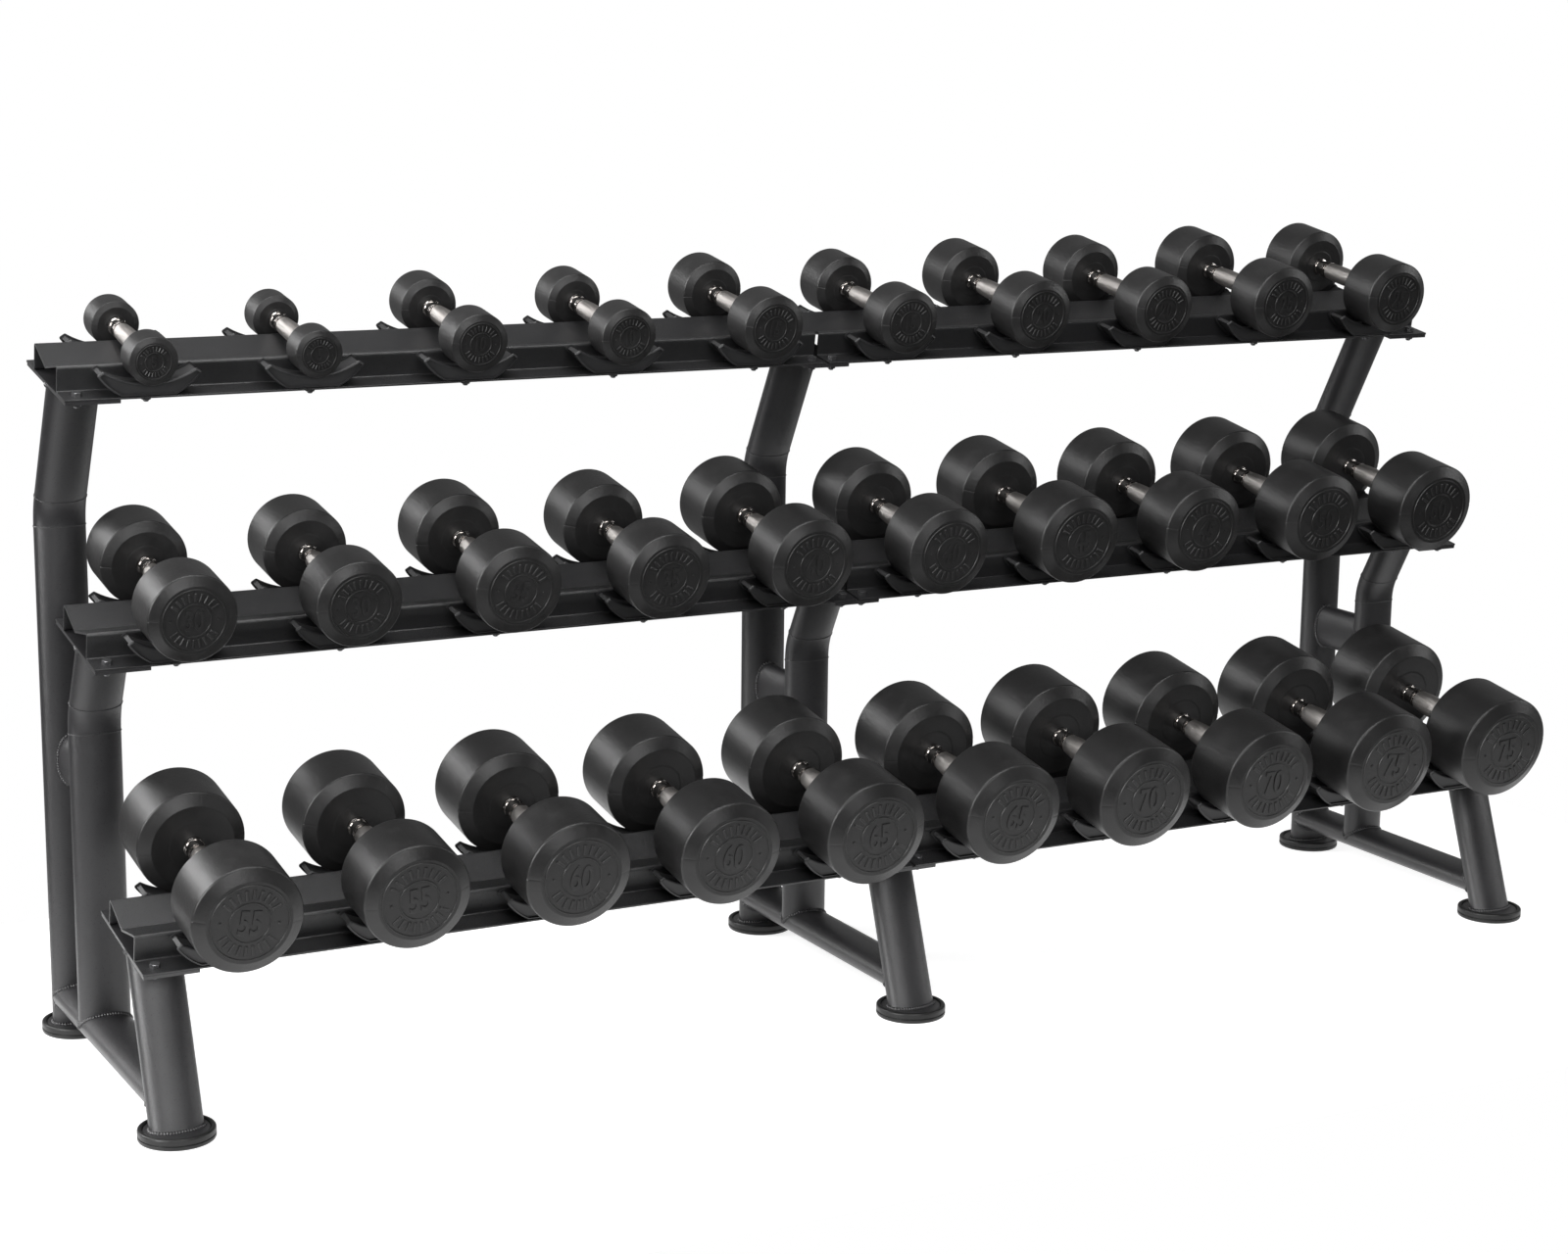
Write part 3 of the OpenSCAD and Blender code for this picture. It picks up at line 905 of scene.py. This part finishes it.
# %% Lay out the saddles
bell_names = [body for body in frame["bodies"] if body.startswith("dumbbell")]
bell_tier = {}
for name in bell_names:
    z = reach(name, OUT)
    bottoms = {t: abs(z[0] - tier_frames[t].translation.dot(OUT) - SEAT_H) for t in TIERS}
    bell_tier[name] = min(bottoms, key=bottoms.get)
seat_xs = sorted(middle(reach(name, ALONG)) for name in bell_names if bell_tier[name] == "top")


def seats(tier):
    """A matrix for each saddle of a tier, on its flange."""
    return [
        tier_frames[tier] @ Matrix.Translation((x, back, 0))
        for x in seat_xs
        for back in (0, BOLT_SPAN)
    ]


def copies(mesh, places):
    bm = bmesh.new()
    for place in places:
        start = len(bm.verts)
        bm.from_mesh(mesh)
        bm.verts.ensure_lookup_table()
        bmesh.ops.transform(bm, matrix=place, verts=bm.verts[start:])
    return bm


for tier in TIERS:
    bm = copies(saddle_mesh, seats(tier))
    finish_piece(f"moulded_saddles_{tier}", bm, saddle_finish, "rack", [f"saddles_{tier}"], crisp=35)
print("saddles:", len(seat_xs) * 2 * len(TIERS))

# %% [markdown]
# ## Hex bolts and nuts
# A hex head starts as a hexagon and is then chamfered on a lathe, which cuts the curved
# shoulders over each corner. Going round the head, the radius follows the hexagon and the
# top edge drops where the radius passes the chamfer's cone.

# %% Hex bolts and nuts
def hex_radius(angle):
    sixth = math.tau / 6
    return HEX_FLATS / 2 / math.cos((angle % sixth) - sixth / 2)


def hex_prism(bm, low, high, place, bore=0.0):
    """A chamfered hexagon from low to high, with a bore if it is a nut."""
    angles = even_angles(36)
    chamfer = math.tan(math.radians(30))
    crown = HEX_FLATS / 2 * 0.96

    def squeezed(angle, point):
        radius, height = point
        if radius > crown * 1.001:
            radius = hex_radius(angle)
            over = max(radius - crown, 0) * chamfer
            height = min(height, high - over) if height > (low + high) / 2 else max(height, low + over * bool(bore))
        return radius, height

    outside = [(crown, low), (HEX_FLATS / 2 * 1.01, low), (HEX_FLATS / 2 * 1.01, high), (crown, high)]
    if bore:
        ring = [(bore, low + 0.5 * MM), (bore + 0.5 * MM, low)] + outside + [(bore + 0.5 * MM, high), (bore, high - 0.5 * MM)]
        lathe(bm, ring + [ring[0]], angles, place, squeezed)
        bmesh.ops.remove_doubles(bm, verts=bm.verts, dist=1e-7)
    else:
        lathe(bm, [(0, low)] + outside + [(0, high)], angles, place, squeezed)


def threaded_shank(bm, low, high, place):
    """A shank whose last stretch carries ridges a thread apart."""
    thread, ridge = 1.25 * MM, 0.35 * MM
    profile = [(0, low), (BOLT_R - ridge - 0.4 * MM, low)]
    turns = 9
    for i in range(turns):
        z = low + 0.5 * MM + i * thread
        profile += [(BOLT_R - ridge, z), (BOLT_R, z + thread / 2)]
    profile += [(BOLT_R, high), (0, high)]
    lathe(bm, profile, even_angles(20), place)


HEAD_T = 5.5 * MM
NUT_T = 6.5 * MM
BOLT_TAIL = 3 * MM
PLATE_T = 5 * MM


def bolt(stack):
    bm = bmesh.new()
    hex_prism(bm, 0, HEAD_T, Matrix.Identity(4))
    threaded_shank(bm, -stack - NUT_T - BOLT_TAIL, 1 * MM, Matrix.Identity(4))
    mesh = bpy.data.meshes.new("bolt")
    bm.to_mesh(mesh)
    return mesh


def nut():
    bm = bmesh.new()
    hex_prism(bm, 0, NUT_T, Matrix.Identity(4), bore=BOLT_R + 0.05 * MM)
    mesh = bpy.data.meshes.new("nut")
    bm.to_mesh(mesh)
    return mesh


tray_bolt_x = 18 * MM
end_x = frame_xs["right"]
tray_bolt_xs = [s * x for s in (-1, 1) for x in (tray_bolt_x, end_x + tray_bolt_x)]
tray_bolt_seats = [
    tier_frames[tier] @ Matrix.Translation((x, back, 0))
    for tier in TIERS
    for x in tray_bolt_xs
    for back in (0, BOLT_SPAN)
]
saddle_seats = [place for tier in TIERS for place in seats(tier)]
counter = SEAT_H - COUNTERBORE_DEEP
screws = copies(bolt(counter + SHEET), [place @ Matrix.Translation((0, 0, counter)) for place in saddle_seats])
finish_piece("hex_saddle_bolts", screws, oxide, "rack", ["saddle_bolts"], crisp=28)
screws = copies(bolt(SHEET + PLATE_T), tray_bolt_seats)
finish_piece("hex_tray_bolts", screws, oxide, "rack", ["tray_bolts"], crisp=28)
nut_places = [place @ Matrix.Translation((0, 0, -SHEET - NUT_T)) for place in saddle_seats]
nut_places += [place @ Matrix.Translation((0, 0, -SHEET - PLATE_T - NUT_T)) for place in tray_bolt_seats]
finish_piece("hex_nuts", copies(nut(), nut_places), oxide, "rack", ["nuts"], crisp=28)
print("nuts:", len(nut_places))

# %% [markdown]
# ## Feet
# Each foot is a steel disc that sits in a moulded rubber cup. Both are turned shapes with
# soft edges: the cup has a rolled lip and one groove, and the disc's top edge is eased.

# %% Feet
cup_low, cup_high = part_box("rubber_cups")
cup_r = cup_high.y - rear_y
cup_h = cup_high.z
disc_low_z = disc_low.z


def cup_profile():
    groove, inside = 1.5 * MM, disc_r + 0.5 * MM
    third = cup_h / 3
    points = [
        (0, 0), (cup_r - 1 * MM, 0), (cup_r, 2 * MM), (cup_r, third), (cup_r - groove, third + 0.4 * MM),
        (cup_r - groove, third + 1.4 * MM), (cup_r, third + 2 * MM), (cup_r, cup_h), (inside, cup_h),
        (inside, disc_low_z), (0, disc_low_z),
    ]
    radii = [0, 0.8 * MM, 1 * MM, 0.4 * MM, 0.3 * MM, 0.3 * MM, 0.4 * MM, 3 * MM, 2.4 * MM, 0.5 * MM, 0]
    return soften(points, radii)


def disc_profile():
    points = [(0, disc_low_z), (disc_r, disc_low_z), (disc_r, disc_top), (0, disc_top)]
    return soften(points, [0, 0.6 * MM, 1.6 * MM, 0])


feet = [Vector((x, y, 0)) for x in frame_xs.values() for y in (rear_y, leg_foot_y)]
for name, profile, material, slot, node in (
    ("turned_foot_discs", disc_profile(), frame_coat, "frame_coating", "foot_discs"),
    ("moulded_rubber_cups", cup_profile(), cup_rubber, "foot_rubber", "rubber_cups"),
):
    bm = bmesh.new()
    for place in feet:
        lathe(bm, profile, even_angles(96), Matrix.Translation(place))
    finish_piece(name, bm, material, "rack", [node], crisp=50)
print("feet:", len(feet), "cup radius", round(cup_r, 4))

# %% [markdown]
# ## Dumbbell heads
# A head is an iron drum dipped in rubber. Its ends slope in from a soft rim to a flat face,
# and the mould leaves a split line across each slope. The face carries thin raised circles,
# a band of plain ribs and the weight in raised figures.

# %% Head sizes from the frame
BARE_GRIP = 138 * MM
RELIEF = 1.8 * MM


def head_sizes(name):
    """Radius and length of a dumbbell's heads."""
    span = reach(name, ALONG)
    long = reach(name, BACK)
    return (span[1] - span[0]) / 2, (long[1] - long[0] - BARE_GRIP) / 2


def head_profile(radius, length):
    """(radius, height) from the handle's end of a head to its outer face."""
    slope_in, slope_long = 0.23 * radius, 0.14 * radius
    flat = radius - slope_in
    face = length - RELIEF
    ring, thin = 0.0045 * radius + 0.25 * MM, RELIEF * 0.75
    inner_ring, outer_ring = 0.37 * radius, 0.70 * radius
    points = [(0, 0), (flat * 0.55, 0), (flat * 0.6, 0.4 * MM), (flat, 0.4 * MM), (radius, slope_long)]
    radii = [0, 0.002, 0.002, 0.05 * radius, 0.05 * radius]
    points += [(radius, length - slope_long), (flat, face)]
    radii += [0.06 * radius, 0.03 * radius]
    for at in (outer_ring, inner_ring):
        points += [(at + 2 * ring, face), (at + ring, face + thin), (at - ring, face + thin), (at - 2 * ring, face)]
        radii += [0.0002, 0.0003, 0.0003, 0.0002]
    points.append((0, face))
    radii.append(0)
    return soften(points, radii, steps=5)


# %% [markdown]
# ## The split line, the ribs and the figures
# The split line is a narrow groove, so the lathe gets a few extra angles there and pulls
# them in. The ribs are small blocks with chamfered tops. The figures come from a text
# curve with a little depth and bevel, turned into a mesh.

# %% Head details
GROOVE_HALF = math.radians(0.9)
FIGURE_STRETCH = 1.45


def head_angles():
    angles = set(even_angles(96))
    for side in (0, math.pi):
        angles = {a for a in angles if abs(a - side) > 2 * GROOVE_HALF and abs(a - side - math.tau) > 2 * GROOVE_HALF}
        angles |= {(side + k * GROOVE_HALF) % math.tau for k in (-1, -0.4, 0.4, 1)}
    return sorted(angles)


def split_line(radius, length):
    """Pulls the surface in at both sides of a head, across its two slopes."""
    def squeeze(angle, point):
        r, h = point
        away = min(abs(math.sin(angle)), 1)
        in_groove = away < math.sin(GROOVE_HALF * 0.5)
        on_slope = r > 0.76 * radius and (h < 0.16 * radius or h > length - 0.16 * radius)
        return (r - 0.7 * MM, h) if in_groove and on_slope else (r, h)
    return squeeze


def rib(bm, place, wide, tall, high):
    """A low block with a smaller top."""
    ends = []
    for z, shrink in ((-0.5 * MM, 0), (high * 0.5, 0), (high, high * 0.6)):
        w, t = wide / 2 - shrink, tall / 2 - shrink
        ends.append([bm.verts.new(place @ Vector((x, y, z))) for x, y in ((-w, -t), (w, -t), (w, t), (-w, t))])
    for low, high_ring in zip(ends, ends[1:]):
        for i in range(4):
            j = (i + 1) % 4
            bm.faces.new((low[i], low[j], high_ring[j], high_ring[i]))
    bm.faces.new(ends[0][::-1])
    bm.faces.new(ends[-1])


def ribs(bm, radius, face):
    """Two arcs of ribs, above and below, with a round stud between them at each side."""
    per_arc, spacing = 9, math.radians(14)
    band = 0.53 * radius
    for arc in (math.pi / 2, -math.pi / 2):
        for i in range(per_arc):
            a = arc + (i - (per_arc - 1) / 2) * spacing
            place = Matrix.Translation((0, 0, face)) @ Matrix.Rotation(a, 4, "Z") @ Matrix.Translation((band, 0, 0))
            rib(bm, place, 0.19 * radius, 0.055 * radius, RELIEF * 0.9)
    stud = 0.022 * radius
    for a in (0, math.pi):
        place = Matrix.Translation((band * math.cos(a), 0, face))
        lathe(bm, soften([(0, -0.5 * MM), (stud, -0.5 * MM), (stud, RELIEF * 0.8), (0, RELIEF * 0.8)], 0.0004), even_angles(16), place)


def figures(bm, weight, radius, face):
    """The weight in raised figures, in the middle of the face."""
    curve = bpy.data.curves.new("figures", "FONT")
    curve.body = str(weight)
    curve.align_x, curve.align_y = "CENTER", "CENTER"
    curve.size = 0.44 * radius
    curve.extrude = RELIEF * 0.5
    curve.offset = 0.004 * radius
    curve.bevel_depth = RELIEF * 0.2
    curve.bevel_resolution = 1
    curve.resolution_u = 4
    text = bpy.data.objects.new("figures", curve)
    bpy.context.scene.collection.objects.link(text)
    bpy.context.view_layer.update()
    mesh = bpy.data.meshes.new_from_object(text.evaluated_get(bpy.context.evaluated_depsgraph_get()))
    bpy.data.objects.remove(text)
    xs = [v.co.x for v in mesh.vertices]
    ys = [v.co.y for v in mesh.vertices]
    start = len(bm.verts)
    bm.from_mesh(mesh)
    bm.verts.ensure_lookup_table()
    centred = Matrix.Translation((-middle((min(xs), max(xs))), -middle((min(ys), max(ys))), 0))
    raised = Matrix.Translation((0, 0, face + 0.1 * MM)) @ Matrix.Diagonal((1, FIGURE_STRETCH, 1, 1))
    bmesh.ops.transform(bm, matrix=raised @ centred, verts=bm.verts[start:])
    bmesh.ops.remove_doubles(bm, verts=bm.verts[start:], dist=1e-6)


def head_mesh(weight, radius, length):
    bm = bmesh.new()
    lathe(bm, head_profile(radius, length), head_angles(), squeeze=split_line(radius, length))
    face = length - RELIEF
    ribs(bm, radius, face)
    figures(bm, weight, radius, face)
    bmesh.ops.recalc_face_normals(bm, faces=bm.faces)
    mesh = bpy.data.meshes.new(f"head_{weight:02d}")
    bm.to_mesh(mesh)
    bm.free()
    return mesh


# %% [markdown]
# ## Handles
# The bar is turned to slim necks, each with a groove and two rings next to the grip, and
# the grip swells in the middle to fill the hand.

# %% Handle profile
def handle_profile(weight):
    neck, grip = (11.3 + 0.036 * weight) * MM, (13.6 + 0.07 * weight) * MM
    half = BARE_GRIP / 2 - 0.2 * MM
    shoulder = GRIP_HALF + 1 * MM
    steps = 14
    swell = [
        (neck + 0.9 * MM + (grip - neck - 0.9 * MM) * math.cos(math.radians(80) * s / steps), shoulder * s / steps)
        for s in range(steps + 1)
    ]
    rim = neck + 2 * MM
    ring = [
        (neck, shoulder + 0.3 * MM), (neck - 1.2 * MM, shoulder + 0.8 * MM), (neck - 1.2 * MM, shoulder + 2.2 * MM),
        (rim, shoulder + 2.6 * MM), (rim, shoulder + 5.2 * MM), (neck - 1 * MM, shoulder + 5.6 * MM),
        (neck - 1 * MM, shoulder + 7 * MM), (rim - 0.5 * MM, shoulder + 7.4 * MM), (rim - 0.5 * MM, shoulder + 9.4 * MM),
        (neck, shoulder + 9.8 * MM), (neck, half - 5 * MM), (rim, half - 4.4 * MM), (rim, half), (0, half),
    ]
    upper = swell + ring
    lower = [(r, -z) for r, z in reversed(upper[1:])]
    points = lower + upper
    return soften(points, 0.0003, steps=2)


def handle_mesh(weight):
    bm = bmesh.new()
    lathe(bm, handle_profile(weight), even_angles(64))
    bmesh.ops.recalc_face_normals(bm, faces=bm.faces)
    mesh = bpy.data.meshes.new(f"handle_{weight:02d}")
    bm.to_mesh(mesh)
    bm.free()
    return mesh


# %% [markdown]
# ## Thirty dumbbells
# Both heads of a dumbbell share one mesh and face away from each other. Each pair of heads
# is one piece and each handle another, and both ride on the dumbbell's own body, so they
# lift together. A dumbbell that was set down by hand is never quite square, so each is
# turned a little about its bar.

# %% Thirty dumbbells
TURN_LIMIT = math.radians(7)
for index, name in enumerate(bell_names):
    weight = int(name.split("_")[1])
    radius, length = head_sizes(name)
    centre = ALONG * middle(reach(name, ALONG)) + BACK * middle(reach(name, BACK)) + OUT * middle(reach(name, OUT))
    turn = Matrix.Rotation(TURN_LIMIT * math.sin(2.4 * index + 1), 4, "Z")
    bar = axes_at(centre, -ALONG, OUT, BACK)
    mesh = head_mesh(weight, radius, length)
    rear = turn @ Matrix.Translation((0, 0, BARE_GRIP / 2))
    front = Matrix.Rotation(math.pi, 4, "Y") @ turn @ Matrix.Translation((0, 0, BARE_GRIP / 2))
    pair = copies(mesh, [rear, front])
    bmesh.ops.transform(pair, matrix=bar, verts=pair.verts)
    both = bpy.data.meshes.new(f"heads_{name}")
    pair.to_mesh(both)
    pair.free()
    hang(f"heads_of_{name}", both, head_rubber, name, [name], 35)
    hang(f"handle_of_{name}", handle_mesh(weight), chrome, name, crisp=35, place=bar)
print("dumbbells:", len(bell_names))
